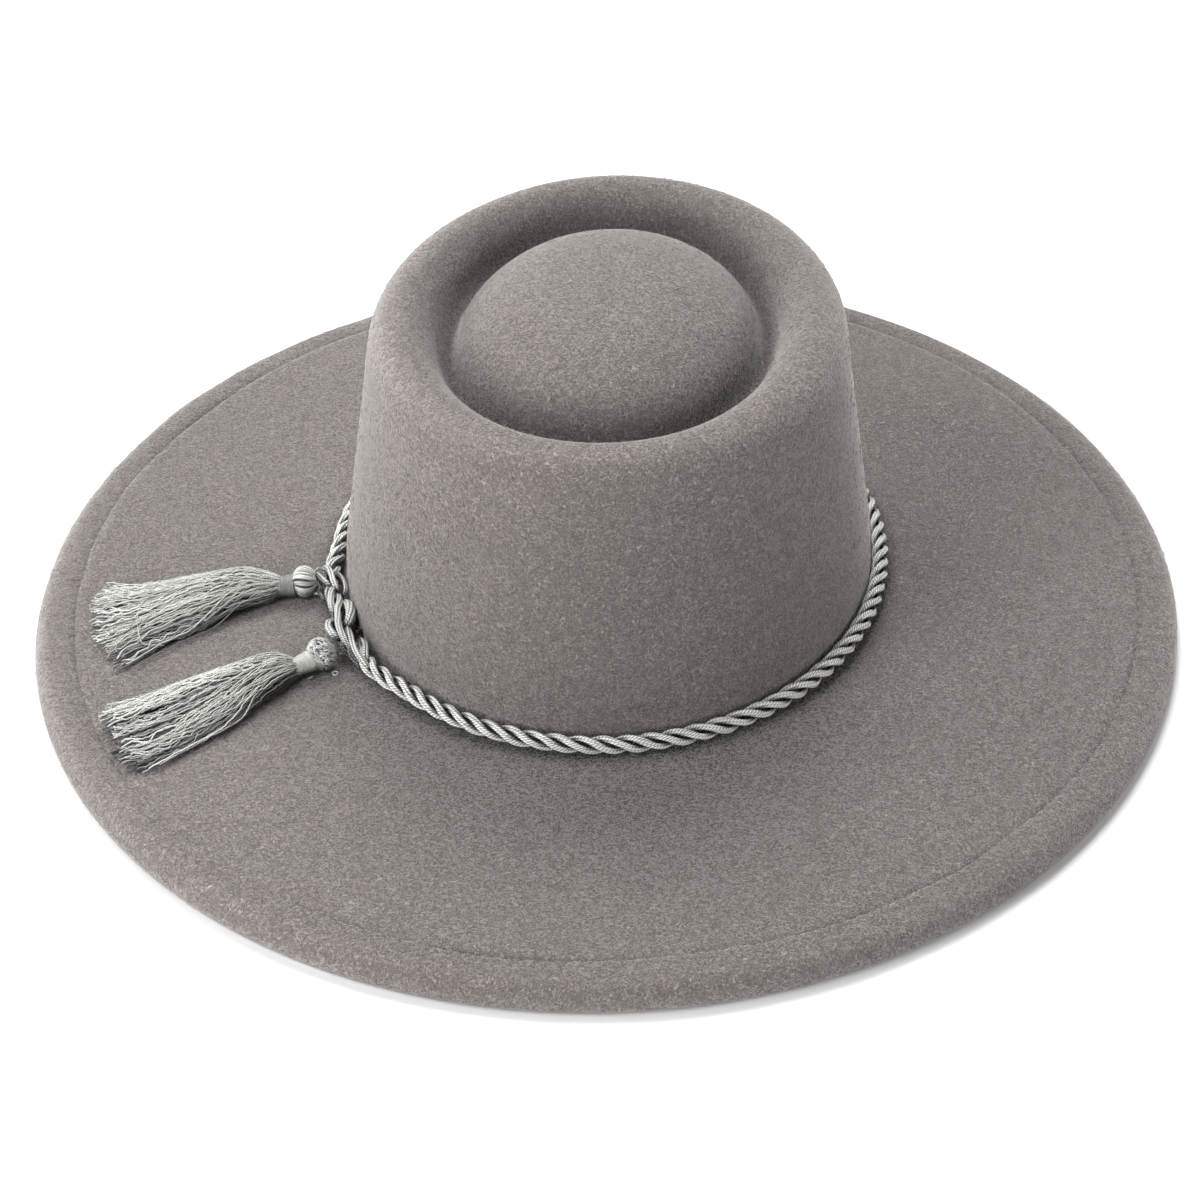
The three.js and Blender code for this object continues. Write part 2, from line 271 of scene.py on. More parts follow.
NECK_THREAD = 0.26
NECK_STEPS = 26  # in each turn
# Painted shade on the tassels' heads, lighter on top and darker below:
HEAD_PAINTED_SHADE = (0.06, 0.86, 1.1)  # of a head's lowest threads, those at its middle and the top ones
HEAD_PAINTED_SHADE_RISE = 1.1  # from the middle up to one radius over it, before it is cut at the top tone
SKIRT_LOCKS = 34
SKIRT_THREADS = 9  # in each lock
SKIRT_STEPS = 84
SKIRT_STRAYS = 0.22  # share of threads that stray over their neighbours
SKIRT_SHORT = 0.12  # share of threads that end early
SKIRT_CRINKLE = 0.07
SKIRT_STATIONS = 60
SKIRT_ROUND = 0.86  # how far the skirt thins towards its two edges
CORE_SIDES = 20
CORE_ROWS = 14
CORE_LENGTH = 0.8  # share of the skirt's length

# The brim's upper face under the threads: half width and height at the crown's foot, slope outward and
# the oval's width as a share of its length
BRIM_FOOT = 88
BRIM_FOOT_HEIGHT = 10.75
BRIM_FALL = 0.0228
BRIM_OVAL = 0.92


def unit(vectors):
    return vectors / np.linalg.norm(vectors, axis=-1, keepdims=True)


def lengths(path):
    """The length of the path up to each of its points."""
    return np.concatenate([[0], np.cumsum(np.linalg.norm(np.diff(path, axis=0), axis=1))])


def spline(rows, step):
    """A centripetal Catmull-Rom curve through the rows, sampled about every step."""
    rows = np.array(rows, float)
    rows = np.vstack([2 * rows[0] - rows[1], rows, 2 * rows[-1] - rows[-2]])
    out = []
    for i in range(1, len(rows) - 2):
        p = rows[i - 1:i + 3]
        gaps = np.maximum(np.sqrt(np.linalg.norm(np.diff(p, axis=0), axis=1)), 1e-9)
        t0, t1, t2, t3 = 0, gaps[0], gaps[:2].sum(), gaps.sum()
        count = max(1, round(np.linalg.norm(p[2] - p[1]) / step))
        t = np.linspace(t1, t2, count, endpoint=False)[:, None]
        a1 = (t1 - t) / (t1 - t0) * p[0] + (t - t0) / (t1 - t0) * p[1]
        a2 = (t2 - t) / (t2 - t1) * p[1] + (t - t1) / (t2 - t1) * p[2]
        a3 = (t3 - t) / (t3 - t2) * p[2] + (t - t2) / (t3 - t2) * p[3]
        b1 = (t2 - t) / (t2 - t0) * a1 + (t - t0) / (t2 - t0) * a2
        b2 = (t3 - t) / (t3 - t1) * a2 + (t - t1) / (t3 - t1) * a3
        out.append((t2 - t) / (t2 - t1) * b1 + (t - t1) / (t2 - t1) * b2)
    out.append(rows[-2][None])
    return np.vstack(out)


def store(mesh, name, kind, field, values):
    """Stores a value for each point of a mesh, for its material to read."""
    values = np.asarray(values, np.float32).ravel()
    mesh.attributes.new(name, kind, "POINT").data.foreach_set(field, values)


def make_mesh(name, points, faces, material, replaces=(), marks=None):
    """A smooth piece from points in millimetres and rows of corner numbers, riding on the hat."""
    mesh = bpy.data.meshes.new(name)
    mesh.from_pydata((np.asarray(points) * MM).tolist(), [], [list(f) for f in faces])
    if marks is not None:
        store(mesh, "thread", "FLOAT_VECTOR", "vector", marks[:, :3])
        store(mesh, "painted_shade_and_tone", "FLOAT", "value", marks[:, 3])
    mesh.shade_smooth()
    mesh.materials.append(material)
    piece = bpy.data.objects.new(name, mesh)
    bpy.context.scene.collection.objects.link(piece)
    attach(piece, "root")
    if replaces:
        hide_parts(*replaces)
    return piece


def ring_faces(rows, columns, closed_rows=False):
    """Quads of a grid of rows that each close on themselves."""
    last = rows if closed_rows else rows - 1
    r = np.arange(last)[:, None]
    c = np.arange(columns)[None, :]
    here = r * columns
    above = ((r + 1) % rows) * columns
    right = (c + 1) % columns
    return np.stack([here + c, here + right, above + right, above + c], -1).reshape(-1, 4)


def domed_faces(rows, columns):
    """Faces of a grid of rows, closed by triangles that meet in two points that come after it."""
    faces = ring_faces(rows, columns).tolist()
    count = rows * columns
    for c in range(columns):
        right = (c + 1) % columns
        faces.append([right, c, count])
        faces.append([count - columns + c, count - columns + right, count + 1])
    return faces


def flat_ended_faces(rows, columns):
    """Faces of a grid of rows, closed by one face at each end."""
    last = (rows - 1) * columns
    faces = ring_faces(rows, columns).tolist()
    faces.append(list(range(columns - 1, -1, -1)))
    faces.append(list(range(last, last + columns)))
    return faces


def turned(side, up, angle):
    """The direction at each angle from side towards up."""
    return np.cos(angle)[..., None] * side + np.sin(angle)[..., None] * up


def tube_frames(path):
    """Side and up vectors carried along a path without turning."""
    tangent = unit(np.gradient(path, axis=0))
    side = np.empty_like(tangent)
    side[0] = np.cross(tangent[0], (0, 0, 1) if abs(tangent[0][2]) < 0.9 else (1, 0, 0))
    side[0] /= np.linalg.norm(side[0])
    for i in range(1, len(path)):
        carried = side[i - 1] - tangent[i] * side[i - 1].dot(tangent[i])
        side[i] = carried / np.linalg.norm(carried)
    return side, np.cross(tangent, side)


def tube(path, radius, sides, shift=0.0, outward=None):
    """Points, faces and thread marks of a closed tube.

    A point's marks are the cosine and sine of its place round the thread and its place along it, so
    that a material can draw fibres that follow the thread, and its painted shade: 0 at the inner side, 1
    at the side that looks outward, so that the material paints shade on the inner side. shift sets the
    threads apart.
    """
    path = np.asarray(path, float)
    side, up = tube_frames(path)
    radius = np.broadcast_to(np.asarray(radius, float), len(path))[:, None, None]
    angle = np.arange(sides) / sides * TURN
    c, s = np.cos(angle)[None, :, None], np.sin(angle)[None, :, None]
    way = c * side[:, None] + s * up[:, None]
    points = (path[:, None] + radius * way).reshape(-1, 3)
    along = lengths(path) + shift
    painted_shade_and_tone = np.ones((len(path), sides))
    if outward is not None:
        painted_shade_and_tone = 0.5 + 0.5 * (way * np.asarray(outward)[:, None]).sum(-1)
    marks = np.broadcast_arrays(c[..., 0], s[..., 0], along[:, None], painted_shade_and_tone)
    faces = [face[::-1] for face in flat_ended_faces(len(path), sides)]
    return points, faces, np.stack(marks, -1).reshape(-1, 4)


def yarns(path, radius, count, offset, lay, sides, shift):
    """Yarns that run side by side round the middle of a strand, each its own tube."""
    side, up = tube_frames(path)
    along = lengths(path)
    parts = []
    for i in range(count):
        outward = turned(side, up, (along / lay + i / count) * TURN)
        middle = path + np.asarray(offset).reshape(-1, 1) * outward
        parts.append(tube(middle, radius, sides, shift + 37.0 * i, outward))
    return parts


def join(parts):
    """One list of points, one of faces and one of marks from several."""
    points, faces, marks, count = [], [], [], 0
    for part_points, part_faces, part_marks in parts:
        points.append(part_points)
        faces.extend([[c + count for c in f] for f in part_faces])
        marks.append(part_marks)
        count += len(part_points)
    return np.vstack(points), faces, np.vstack(marks)


class Nodes:
    """Short calls to build a material's node tree."""

    def __init__(self, name):
        self.material = bpy.data.materials.new(name)
        self.material.use_nodes = True
        self.tree = self.material.node_tree
        self.shader = self.tree.nodes["Principled BSDF"]
        self.place = self.add("ShaderNodeTexCoord").outputs["Object"]

    def add(self, kind, **values):
        node = self.tree.nodes.new(kind)
        for key, value in values.items():
            if key in node.inputs:
                node.inputs[key].default_value = value
            else:
                setattr(node, key, value)
        return node

    def put(self, value, socket):
        """Links a node's output to the socket, or sets the socket to a number or a colour."""
        if isinstance(value, bpy.types.NodeSocket):
            self.tree.links.new(value, socket)
        else:
            socket.default_value = value

    def shade(self, **values):
        """Puts values on the shader's inputs, whose names have spaces for the underscores."""
        for key, value in values.items():
            self.put(value, self.shader.inputs[key.replace("_", " ")])

    def attribute(self, name, output="Fac"):
        return self.add("ShaderNodeAttribute", attribute_name=name).outputs[output]

    def noise(self, scale, detail, roughness, distortion=0.0, place=None):
        node = self.add("ShaderNodeTexNoise", Scale=scale, Detail=detail, Roughness=roughness,
                        Distortion=distortion)
        self.put(place or self.place, node.inputs["Vector"])
        return node.outputs["Fac"]

    def ramp(self, value, stops):
        node = self.add("ShaderNodeValToRGB")
        ramp = node.color_ramp
        while len(ramp.elements) < len(stops):
            ramp.elements.new(0.5)
        for element, (position, colour) in zip(ramp.elements, stops):
            element.position = position
            element.color = (*colour, 1)
        self.put(value, node.inputs["Fac"])
        return node.outputs["Color"]

    def mix(self, share, a, b, blend="MIX"):
        node = self.add("ShaderNodeMix", data_type="RGBA", blend_type=blend)
        self.put(share, node.inputs["Factor"])
        self.put(a, node.inputs[6])
        self.put(b, node.inputs[7])
        return node.outputs[2]

    def math(self, operation, a, b=0.0):
        node = self.add("ShaderNodeMath", operation=operation)
        self.put(a, node.inputs[0])
        self.put(b, node.inputs[1])
        return node.outputs[0]

    def bump(self, height, distance, strength, under=None):
        node = self.add("ShaderNodeBump", Distance=distance, Strength=strength)
        self.put(height, node.inputs["Height"])
        if under is not None:
            self.put(under, node.inputs["Normal"])
        return node.outputs["Normal"]


def grey(value, warm=0.0):
    """A linear grey, a little red and yellow if warm is over 0."""
    return (value * (1 + warm), value * (1 - 0.15 * warm), value * (1 - 0.55 * warm))


# Curled fibres in the felt's colour: the noise's scale, half width of the line, the noise's offset
CURLS = [(470, 0.03, 0.0), (640, 0.036, 3.1), (860, 0.042, 7.7)]


def felt_material():
    n = Nodes("felt")
    # A smooth noise crosses its middle along thin winding lines, which a second noise breaks up
    lines = []
    for scale, width, offset in CURLS:
        moved = n.add("ShaderNodeMapping")
        n.put(n.place, moved.inputs["Vector"])
        n.put((offset, -offset, 2 * offset), moved.inputs["Location"])
        field = n.noise(scale, 1, 0.5, 1.2, moved.outputs["Vector"])
        apart = n.math("ABSOLUTE", n.math("SUBTRACT", field, 0.5))
        line = n.math("SUBTRACT", 1.0, n.math("MINIMUM", n.math("DIVIDE", apart, width), 1.0))
        broken = n.noise(scale * 1.6, 1, 0.5, 0.0, moved.outputs["Vector"])
        gate = n.math("MULTIPLY", n.math("SUBTRACT", broken, 0.4), 9.0)
        gate = n.math("MAXIMUM", n.math("MINIMUM", gate, 1.0), 0.0)
        lines.append(n.math("MULTIPLY", line, gate))
    fibres = n.math("MAXIMUM", lines[0], n.math("MAXIMUM", lines[1], lines[2]))
    grain = n.noise(2300, 2, 0.6, 0.4)
    mottle = n.noise(45, 3, 0.6)
    cloud = n.noise(9, 2, 0.5)
    base = n.ramp(grain, [(0.33, grey(0.0675, 0.105)), (0.67, grey(0.141, 0.105))])
    base = n.mix(n.math("MULTIPLY", mottle, 0.16), base, (*grey(0.085, 0.15), 1))
    base = n.mix(n.math("MULTIPLY", cloud, 0.12), base, (*grey(0.12, 0.03), 1))
    base = n.mix(n.math("MULTIPLY", fibres, 0.85), base, (*grey(0.34, 0.085), 1))
    # The tone attribute is painted light: painted shade, painted shadow and painted highlights scale the
    # colour
    base = n.mix(1.0, base, n.math("ADD", n.attribute("tone"), 1.0), "MULTIPLY")
    coarse = n.bump(fibres, 0.00012, 0.9)
    n.shade(Base_Color=base, Normal=n.bump(grain, 0.0002, 0.6, coarse), Roughness=1.0,
            Specular_IOR_Level=0.1, Sheen_Weight=0.95, Sheen_Roughness=0.28,
            Sheen_Tint=(1.0, 0.95, 0.92, 1))
    return n.material


def nap_material():
    n = Nodes("felt_nap")
    base = n.ramp(n.noise(300, 2, 0.6), [(0.35, grey(0.16, 0.1)), (0.65, grey(0.34, 0.08))])
    n.shade(Base_Color=base, Normal=n.bump(n.noise(4000, 1, 0.5), 0.0001, 0.3), Roughness=0.8,
            Specular_IOR_Level=0.2)
    return n.material


def thread_grey(value):
    """The thread's linear grey, a little short of blue."""
    return (value * 0.985, value, value * 0.945)


def rayon_material(name, dark, light, roughness, twist):
    """Shiny thread. Filaments wind round it, its tone changes along it, and painted shade darkens its
    inner side.

    dark and light are the two ends of its tone, and twist is the length of one turn of its filaments.
    """
    n = Nodes(name)
    marks = n.attribute("thread", "Vector")
    apart = n.add("ShaderNodeSeparateXYZ")
    n.put(marks, apart.inputs[0])
    around = n.math("ARCTAN2", apart.outputs[1], apart.outputs[0])
    wound = n.math("ADD", n.math("MULTIPLY", around, 3.0),
                   n.math("MULTIPLY", apart.outputs[2], TURN / twist))
    wave = n.math("ADD", n.math("MULTIPLY", n.math("SINE", wound), 0.5), 0.5)
    stretched = n.add("ShaderNodeVectorMath", operation="MULTIPLY")
    n.put(marks, stretched.inputs[0])
    n.put((1.6, 1.6, 0.45), stretched.inputs[1])
    fibre = n.noise(1.7, 3, 0.65, 0.3, stretched.outputs[0])
    tone = n.math("ADD", n.math("MULTIPLY", fibre, 0.62), n.math("MULTIPLY", wave, 0.38))
    base = n.ramp(tone, [(0.36, thread_grey(dark)), (0.58, thread_grey(light))])
    # Painted shade: inner sides, deep threads and low parts are painted darker, down to near black
    depth = n.ramp(n.attribute("painted_shade_and_tone"), [(0.0, grey(0.05)), (0.45, grey(0.4)), (0.85, grey(1.0))])
    base = n.mix(1.0, base, depth, "MULTIPLY")
    rough = n.bump(fibre, 0.00015, 0.5)
    n.shade(Base_Color=base, Normal=n.bump(wave, 0.0001, 0.6, rough), Roughness=roughness,
            Specular_IOR_Level=0.8)
    return n.material


def floor_material():
    n = Nodes("floor")
    n.shade(Base_Color=(0.9, 0.9, 0.9, 1), Roughness=0.9, Specular_IOR_Level=0.0)
    return n.material


def settle(points, half_width):
    """Leans the crown, tilts its top, sets it back from the middle of the brim and skews the brim."""
    on_brim = np.clip((half_width - SET_BACK_FROM) / (SET_BACK_TO - SET_BACK_FROM), 0, 1)
    high = np.clip((points[..., 2] - CROWN_LEAN_FROM) / (CROWN_HEIGHT - CROWN_LEAN_FROM), 0, 1)
    moved = points.copy()
    moved[..., 2] += CROWN_TILT * points[..., 1] * high
    moved[..., 0] += BRIM_SKEW * on_brim * points[..., 1]
    moved[..., 1] += BRIM_SKEW * on_brim * points[..., 0]
    moved[..., 1] += CROWN_SET_BACK * (1 - on_brim) + CROWN_LEAN * high
    return moved


def oval_grid(rows, segments):
    """Points of a skin whose rows are ovals, as an array of rows by segments."""
    angle = np.arange(segments) / segments * TURN
    return np.stack([
        rows[:, 0:1] * np.cos(angle),
        rows[:, 1:2] * np.sin(angle),
        np.repeat(rows[:, 2:3], segments, 1)], -1)


def ripple(points, seed, size, waves):
    """A smooth random offset for each point, up to about size, with waves of about that length."""
    random = np.random.default_rng(seed)
    total = np.zeros(points.shape[:-1])
    for _ in range(RIPPLES):
        direction = random.normal(size=3)
        direction *= TURN / (waves * random.uniform(0.7, 1.5)) / np.linalg.norm(direction)
        total += np.sin(points @ direction + random.uniform(0, TURN))
    return total / math.sqrt(RIPPLES) * size


def fill_groove(grid, half_width):
    """Lifts the felt beside the stitches where the hem was pressed flat, and so thins the groove."""
    segments = grid.shape[1]
    angle = np.arange(segments) / segments * TURN
    there = np.clip(np.cos(angle - math.radians(GROOVE_FILL_TURN)) + 0.15, 0, 1)
    near = np.exp(-((half_width - STITCH_LINE[0] - GROOVE_FILL_SHIFT) / GROOVE_FILL_REACH) ** 2)
    grid[..., 2] += GROOVE_FILL * near[:, None] * there[None, :]


def set_painted_light(piece, half_width):
    """Stores how much painted highlight or painted shade lightens or darkens the felt at each point, as a
    share of its colour.
    """
    tone = sum(change * np.exp(-((half_width - middle) / reach) ** 2)
               for middle, reach, change in FELT_PAINTED_LIGHT)
    store(piece.data, "tone", "FLOAT", "value", tone)


def felt_body(material):
    outer = spline(FELT_SECTION, FELT_STEP)
    table = spline(FELT_SECTION, FELT_STEP_INSIDE)
    slope = unit(np.gradient(table[:, [0, 2]], axis=0))
    inner = table + FELT_WALL * np.stack([slope[:, 1], slope[:, 1], -slope[:, 0]], 1)
    rows = np.vstack([inner[1:], outer[:0:-1]])
    grid = settle(oval_grid(rows, FELT_SEGMENTS), rows[:, 0:1])
    grid[..., 2] += ripple(grid, SEED, *FELT_RIPPLE)
    fill_groove(grid, rows[:, 0])
    under = grid[0].mean(0) + (0, 0, 0.1)
    top = grid[-1].mean(0) + (0, 0, 0.1)
    points = np.vstack([grid.reshape(-1, 3), under, top])
    faces = domed_faces(len(rows), FELT_SEGMENTS)
    piece = make_mesh("felt_crown_and_brim", points, faces, material, ["felt_body"])
    set_painted_light(piece, np.append(np.repeat(rows[:, 0], FELT_SEGMENTS), (0, 0)))


def hem(material):
    closed = HEM_SECTION + [HEM_SECTION[0]]
    rows = spline(closed, HEM_STEP)[:-1]
    grid = settle(oval_grid(rows, HEM_SEGMENTS), rows[:, 0:1])
    phase = np.arange(HEM_SEGMENTS) / HEM_SEGMENTS * STITCHES
    pinch = 0.5 + 0.5 * np.cos(phase * TURN)
    near = np.exp(-((rows[:, 0] - STITCH_LINE[0] - STITCH_DIP_SHIFT) / STITCH_REACH) ** 2)
    near *= rows[:, 2] > HEM_UPPER
    grid[..., 2] -= STITCH_DIP * near[:, None] * pinch[None, :] ** 2
    fill_groove(grid, np.where(rows[:, 2] > HEM_UPPER, rows[:, 0], 0))
    top = np.clip((rows[:, 2:3] - HEM_RIPPLE_FROM) / HEM_RIPPLE_RISE, 0, 1)
    grid[..., 2] += ripple(grid, SEED + 1, *HEM_RIPPLE) * top
    faces = ring_faces(len(rows), HEM_SEGMENTS, closed_rows=True)
    piece = make_mesh("felt_hem", grid.reshape(-1, 3), faces, material)
    set_painted_light(piece, np.repeat(rows[:, 0], HEM_SEGMENTS))


def skin_samples(grid, weights, count, random):
    """Random places on a grid of points, with the skin's two directions and its outward normal."""
    corner = grid[:-1]
    across = np.roll(grid, -1, axis=1)[:-1] - corner
    down = grid[1:] - corner
    normal = np.cross(down, across)
    area = np.linalg.norm(normal, axis=-1)
    chance = (area * weights[:-1, None]).ravel()
    chosen = random.choice(len(chance), count, p=chance / chance.sum())
    a, b = random.random((2, count, 1))
    across, down = across.reshape(-1, 3)[chosen], down.reshape(-1, 3)[chosen]
    place = corner.reshape(-1, 3)[chosen] + a * across + b * down
    return place, unit(across), unit(normal.reshape(-1, 3)[chosen])


def nap_fibres(place, along, normal, random):
    """Curled spindles: a pointed start and end and two rings of three points between."""
    count = len(place)
    other = np.cross(normal, along)
    length = random.uniform(*NAP_LENGTH, count)
    thick = random.uniform(*NAP_THICKNESS, count)
    heading = random.uniform(0, TURN, count)
    curl = random.normal(0, NAP_CURL, count)
    standing = random.random(count) < NAP_STANDING
    rise = np.where(standing, random.uniform(*NAP_RISE, count), 0.0)
    path = np.zeros((count, 4, 3))
    reach = np.zeros((count, 2))
    for k in range(4):
        share = k / 3
        height = rise * share ** 1.5 - NAP_SINK + NAP_ARCH * np.sin(share * math.pi)
        path[:, k] = place + reach[:, :1] * along + reach[:, 1:] * other + height[:, None] * normal
        turn = heading + curl * (share * 2 - 1)
        reach += np.column_stack([np.cos(turn), np.sin(turn)]) * (length / 3)[:, None]
    points = np.empty((count, 8, 3))
    points[:, 0] = path[:, 0]
    points[:, 7] = path[:, 3]
    for ring in (1, 2):
        ahead = unit(path[:, ring + 1] - path[:, ring - 1])
        side = unit(np.cross(ahead, normal))
        up = np.cross(side, ahead)
        for corner in range(3):
            angle = corner / 3 * TURN
            points[:, ring * 3 - 2 + corner] = path[:, ring] + thick[:, None] * (
                math.cos(angle) * side + math.sin(angle) * up)
    pattern = []
    for a in range(3):
        b = (a + 1) % 3
        pattern += [(0, 1 + a, 1 + b), (7, 4 + b, 4 + a), (1 + b, 1 + a, 4 + a), (1 + b, 4 + a, 4 + b)]
    faces = (np.arange(count)[:, None, None] * 8 + np.array(pattern)[None]).reshape(-1, 3)
    return points.reshape(-1, 3), faces


def nap(material):
    random = np.random.default_rng(SEED + 5)
    rows = spline(FELT_SECTION, NAP_STEP)[1:]
    skin = settle(oval_grid(rows, FELT_SEGMENTS), rows[:, 0:1])
    skin[..., 2] += ripple(skin, SEED, *FELT_RIPPLE)
    weights = np.where(rows[:, 0] < NAP_CROWN_TO, NAP_CROWN, 1.0)
    weights[rows[:, 0] > HEM_SECTION[0][0]] = 0
    # The hem's outer side, from the stitch line down to the floor. Its fibres start no lower than the
    # longest of them reach, so none goes into the floor.
    side = spline(HEM_SECTION[1:11], NAP_STEP_HEM)
    edge = settle(oval_grid(side, FELT_SEGMENTS), side[:, 0:1])
    clear_of_floor = np.where(np.roll(side[:, 2], -1) > NAP_LENGTH[1], 1.0, 0.0)
    for name, grid, weight, count in (
            ("felt_nap", skin, weights, NAP_FIBRES),
            ("felt_nap_hem", edge, clear_of_floor, NAP_FIBRES_HEM)):
        place, along, normal = skin_samples(grid, weight, count, random)
        points, faces = nap_fibres(place, along, normal, random)
        make_mesh(name, points, faces, material)


def hem_stitches(material):
    half_width, half_length, height = STITCH_LINE
    parts = []
    share = np.linspace(-0.5, 0.5, 7)
    circumference = TURN * math.sqrt((half_width ** 2 + half_length ** 2) / 2)
    for i in range(STITCHES):
        angle = ((i + 0.5) + share * STITCH_LENGTH / circumference * STITCHES) / STITCHES * TURN
        lift = STITCH_LIFT - STITCH_DROP * (2 * share) ** 4
        path = np.stack([half_width * np.cos(angle), half_length * np.sin(angle), height + lift], 1)
        parts.append(tube(settle(path, half_width), STITCH_THREAD, 6))
    points, faces, marks = join(parts)
    make_mesh("hem_stitches", points, faces, material, (), marks)


def rope_route():
    """The middle of the rope, from beside the lower knot round the front to the upper knot."""
    angle = np.radians(np.linspace(ROPE_FROM, ROPE_TO, 200))
    oval = np.stack([
        ROPE_HALF_WIDTH * np.cos(angle),
        CROWN_SET_BACK + ROPE_HALF_LENGTH * np.sin(angle),
        np.zeros(len(angle))], 1)
    # By the knots the rope leaves the oval and goes through these points
    start = [(-73.7, -57.6, 0), (-71.4, -61.6, 0), (-67.1, -67.9, 0)]
    end = [(-88.3, -8.3, 0), (-88.6, -15.0, 0), (-88.0, -21.0, -0.4)]
    route = np.vstack([start, oval[4:-4], end])
    return spline(route + (0, 0, ROPE_HEIGHT), ROPE_STEP)


def strands(route, offset, lay, start=0.0):
    """The yarns of the three strands of a rope that follows the route."""
    side, up = tube_frames(route)
    along = lengths(route)
    full = offset + YARN_OFFSET + YARN_RADIUS
    parts = []
    for i in range(3):
        path = route + offset * turned(side, up, (start + along / lay + i / 3) * TURN)
        for points, faces, marks in yarns(
                path, YARN_RADIUS, STRAND_YARNS, YARN_OFFSET, YARN_LAY, YARN_SIDES, 311.0 * i):
            apart = np.linalg.norm(points.reshape(len(route), YARN_SIDES, 3) - route[:, None], axis=-1)
            # Painted shade: a yarn is painted darker the nearer it lies to the rope's middle
            marks[:, 3] = np.clip((apart.ravel() / full - YARN_PAINTED_SHADE_TO) / YARN_PAINTED_SHADE_FADE, 0, 1)
            parts.append((points, faces, marks))
    return parts


def rope_band(material):
    points, faces, marks = join(strands(rope_route(), STRAND_OFFSET, ROPE_LAY, ROPE_START))
    make_mesh("rope_band", points, faces, material, ["band_rope"], marks)


def rope_tie(material):
    core = spline(TIE_CORE, ROPE_STEP)
    parts = strands(core, TIE_CORE_OFFSET, TIE_CORE_LAY)
    # Painted shade on the core under the open strands
    for points, faces, marks in parts:
        marks[:, 3] *= TIE_CORE_PAINTED_SHADE
    for i, (radius, rows) in enumerate(TIE_STRANDS):
        path = spline(rows, TIE_STEP)
        share = np.linspace(-1, 1, len(path))
        taper = 1 - TIE_TAPER * share ** 6
        count = max(3, round(radius / TIE_YARN))
        thin = radius / (1 + 1 / math.sin(math.pi / count)) * TIE_YARN_FILL
        for points, faces, marks in yarns(
                path, thin * taper, count, (radius - thin) * taper, TIE_YARN_LAY, TIE_SIDES, 53.0 * i):
            # Painted shade: the lower parts of the strands are painted darker
            marks[:, 3] *= np.clip((points[:, 2] - TIE_PAINTED_SHADE_TO) / TIE_PAINTED_SHADE_FADE, 0, 1)
            parts.append((points, faces, marks))
    for i, (radius, rows) in enumerate(LOOSE_ENDS):
        parts.append(tube(spline(rows, LOOSE_END_STEP), radius, TIE_SIDES, 17.0 * i))
    points, faces, marks = join(parts)
    make_mesh("rope_tie", points, faces, material, ["band_tie"], marks)


def on_ball(centre, axis, radius, length, polar, around, lift=0.0):
    """Points over an oval ball at angles from its end and round its axis."""
    side = unit(np.cross(axis, (0, 0, 1)))
    up = np.cross(side, axis)
    polar = polar[:, None]
    lift = np.broadcast_to(lift, len(polar))[:, None]
    return (centre + (length + lift) * np.cos(polar) * axis
            + (radius + lift) * np.sin(polar) * turned(side, up, around))


def ellipsoid(centre, axis, radius, length, columns=28, rows=16):
    """An oval ball whose length lies along the axis."""
    polar = np.repeat(np.linspace(0, math.pi, rows + 2)[1:-1], columns)
    around = np.tile(np.arange(columns) / columns * TURN, rows)
    points = np.vstack([
        on_ball(centre, axis, radius, length, polar, around),
        centre + length * axis,
        centre - length * axis])
    # Its marks paint it darkest: a dark core, painted shade in the gaps between the threads over it
    marks = np.column_stack([
        np.append(np.cos(around), (0, 0)),
        np.append(np.sin(around), (0, 0)),
        (points - centre) @ axis,
        np.zeros(len(points))])
    return points, domed_faces(rows, columns), marks


def ridged_ball(centre, axis, radius, length, random):
    """Thread laid side by side from one end of the ball to the other."""
    parts = [ellipsoid(centre, axis, radius - 0.3, length - 0.3)]
    count = round(TURN * radius / RIDGE_PITCH)
    for i in range(count):
        polar = np.linspace(0.1, 0.93, 18) * math.pi
        lean = random.normal(0, 0.05)
        around = (i + random.normal(0, 0.16)) / count * TURN + (0.75 + lean) * polar / math.pi
        lift = random.normal(0.0, 0.07) + 0.05 * np.sin(polar * random.uniform(3, 6))
        path = on_ball(centre, axis, radius - RIDGE_SINK, length - RIDGE_SINK, polar, around, lift)
        thick = RIDGE_RADIUS + random.normal(0, 0.03)
        points, faces, marks = tube(path, thick, 7, random.uniform(0, 900), unit(path - centre))
        parts.append((points, faces, marks * (1, 1, 1, random.uniform(0.5, 1))))
    return parts


def knobbly_ball(centre, axis, radius, length, random):
    """Short loops of thread that stand up from the ball and cross each other."""
    parts = [ellipsoid(centre, axis, radius - 0.5, length - 0.5)]
    for _ in range(LOOPS):
        polar = math.acos(random.uniform(-0.97, 0.97))
        around = random.uniform(0, TURN)
        heading = random.normal(0.9, 0.55)
        reach = random.uniform(0.9, 1.9)
        share = np.linspace(-1, 1, 9)
        path = on_ball(
            centre, axis, radius - 0.4, length - 0.4,
            np.clip(polar + share * reach / length * math.cos(heading), 0.05, math.pi - 0.05),
            around + share * reach / radius * math.sin(heading) / max(math.sin(polar), 0.3),
            random.uniform(0.25, 0.6) * (1 - share ** 2) - 0.1)
        thick = random.uniform(0.24, 0.34)
        points, faces, marks = tube(path, thick, 5, random.uniform(0, 900), unit(path - centre))
        parts.append((points, faces, marks * (1, 1, 1, random.uniform(0.5, 1))))
    return parts


